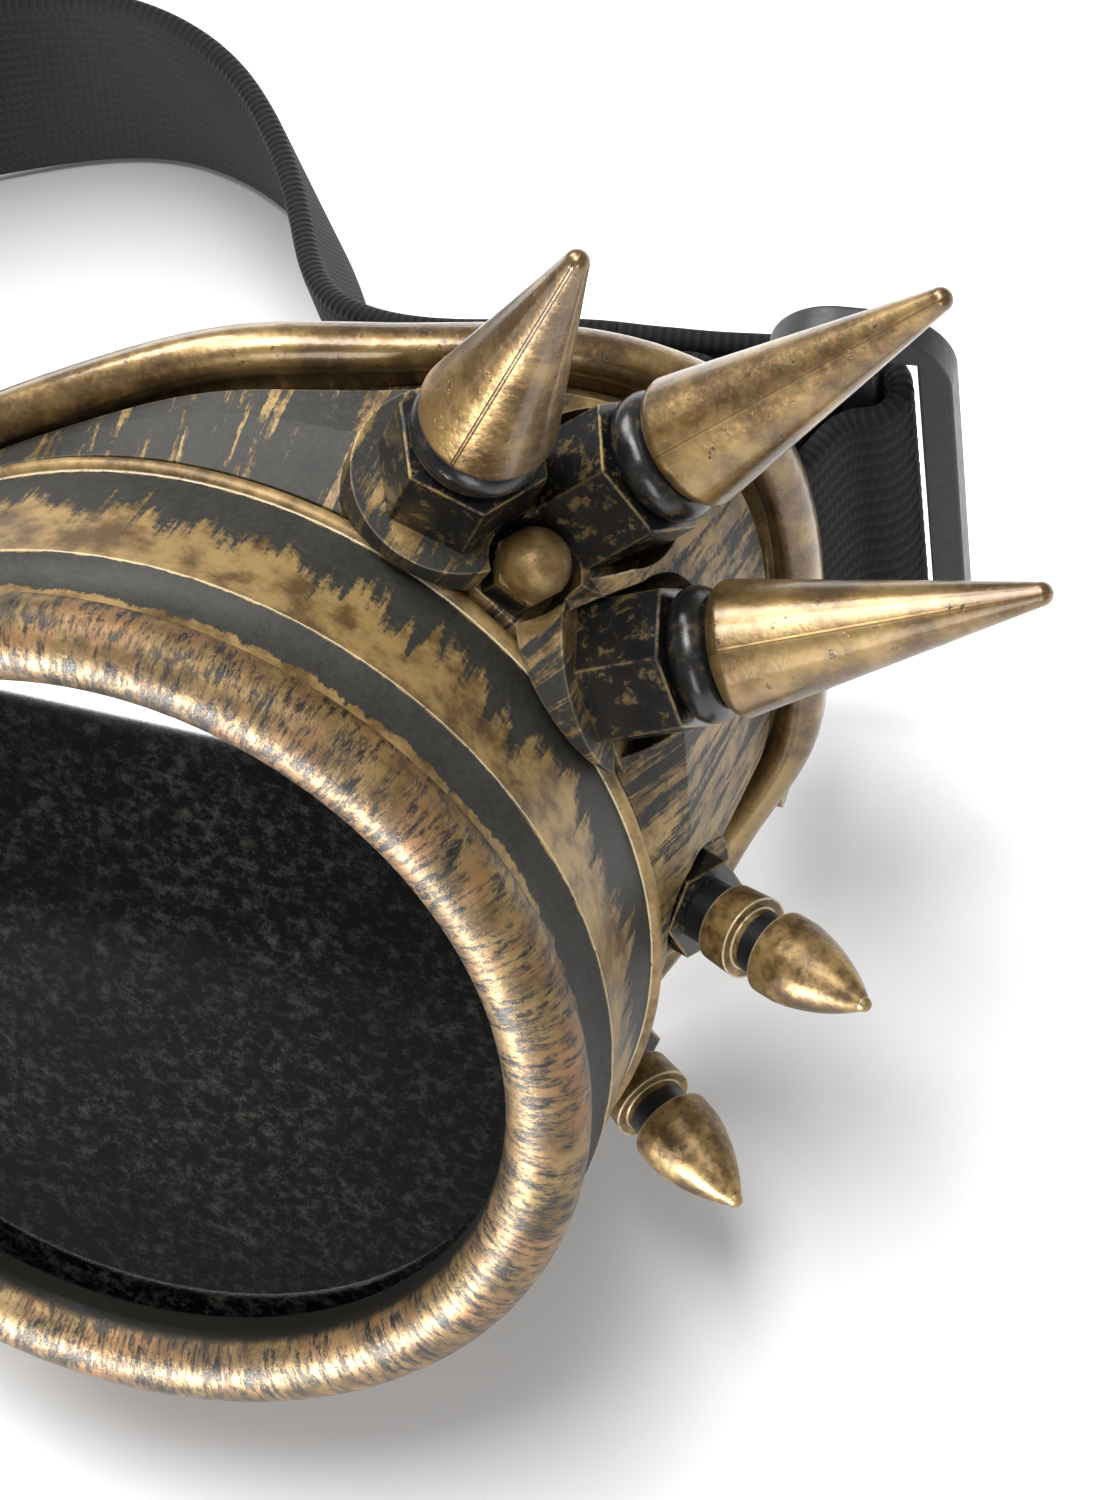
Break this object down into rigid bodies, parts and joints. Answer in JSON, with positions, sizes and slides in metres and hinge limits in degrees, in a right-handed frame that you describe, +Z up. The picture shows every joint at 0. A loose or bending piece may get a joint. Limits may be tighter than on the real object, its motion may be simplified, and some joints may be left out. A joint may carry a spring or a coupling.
{
  "type": "steampunk goggles",
  "caption": "Steampunk goggles with screwed lens rings on flared cups, cone spikes, bullet studs, a nose hinge and an elastic head strap with a slider.",
  "frame": {"origin": "on the table under the middle of the goggles' box", "axes": "+X to the wearer's left along the pair, -Y to the front, +Z up from the table; the lenses look up by 28 degrees because the goggles lie on their lower rims and strap"},
  "size_m": [0.1696, 0.0916, 0.0783],
  "materials": {
    "brushed_bronze": "black moulded plastic, dry-brushed with antique bronze, worn bright on the edges",
    "antique_gold": "satin antique gold paint with dark pits and a mould seam",
    "black_hardware": "glossy black with rubbed gold edges",
    "dark_lens": "near-black tinted lens, polished",
    "black_rubber": "matt",
    "black_elastic": "ribbed woven elastic with a corded edge",
    "black_thread": "sewn thread bars",
    "grey_plastic": "dark grey moulded plastic",
    "steel_pin": "darkened steel"
  },
  "bodies": {
    "left_cup": {"left_eye_cup": "brushed_bronze", "left_face_rim": "antique_gold", "left_lens_seal": "black_rubber", "left_dome_bolt": "antique_gold", "left_upper_spike": "antique_gold", "left_rear_spike": "antique_gold", "left_front_spike": "antique_gold", "left_upper_stud": "antique_gold", "left_lower_stud": "antique_gold", "left_spike_nuts": "black_hardware", "left_spike_collars": "black_hardware", "left_stud_nuts": "black_hardware", "left_strap_stitches": "black_thread", "nose_hinge_pin": "steel_pin", "head_strap": "black_elastic", "adjuster_strap": "black_elastic"},
    "right_cup": {"right_eye_cup": "brushed_bronze", "right_face_rim": "antique_gold", "right_lens_seal": "black_rubber", "right_dome_bolt": "antique_gold", "right_upper_spike": "antique_gold", "right_rear_spike": "antique_gold", "right_front_spike": "antique_gold", "right_upper_stud": "antique_gold", "right_lower_stud": "antique_gold", "right_spike_nuts": "black_hardware", "right_spike_collars": "black_hardware", "right_stud_nuts": "black_hardware", "right_strap_stitches": "black_thread"},
    "left_lens": {"left_lens": "dark_lens"},
    "left_ring": {"left_lens_ring": "brushed_bronze"},
    "right_lens": {"right_lens": "dark_lens"},
    "right_ring": {"right_lens_ring": "brushed_bronze"},
    "slider": {"strap_slider": "grey_plastic"}
  },
  "joints": [
    {"name": "nose_hinge", "type": "hinge", "parent": "left_cup", "child": "right_cup", "pos_m": [0, -0.0113, 0.03845], "axis": [0, 0.4695, 0.8829], "range_deg": [-20, 10], "deforming": ["head_strap"]},
    {"name": "slider_slide", "type": "slide", "parent": "left_cup", "child": "slider", "axis": [0.995, 0.099, -0.0139], "range_m": [0, 0.006], "deforming": ["adjuster_strap"]},
    {"name": "left_lens_slide", "type": "slide", "parent": "left_cup", "child": "left_lens", "axis": [0, -0.8829, 0.4695], "range_m": [0, 0.0046]},
    {"name": "left_ring_turn", "type": "hinge", "parent": "left_lens", "child": "left_ring", "pos_m": [0.037, -0.03136, 0.03779], "axis": [0, -0.8829, 0.4695], "range_deg": [0, 540]},
    {"name": "right_lens_slide", "type": "slide", "parent": "right_cup", "child": "right_lens", "axis": [0, -0.8829, 0.4695], "range_m": [0, 0.0046]},
    {"name": "right_ring_turn", "type": "hinge", "parent": "right_lens", "child": "right_ring", "pos_m": [-0.037, -0.03136, 0.03779], "axis": [0, -0.8829, 0.4695], "range_deg": [0, 540]}
  ],
  "couplings": [
    {"joint": "left_lens_slide", "follows": "left_ring_turn", "m_per_rad": 0.00047746},
    {"joint": "right_lens_slide", "follows": "right_ring_turn", "m_per_rad": 0.00047746}
  ]
}
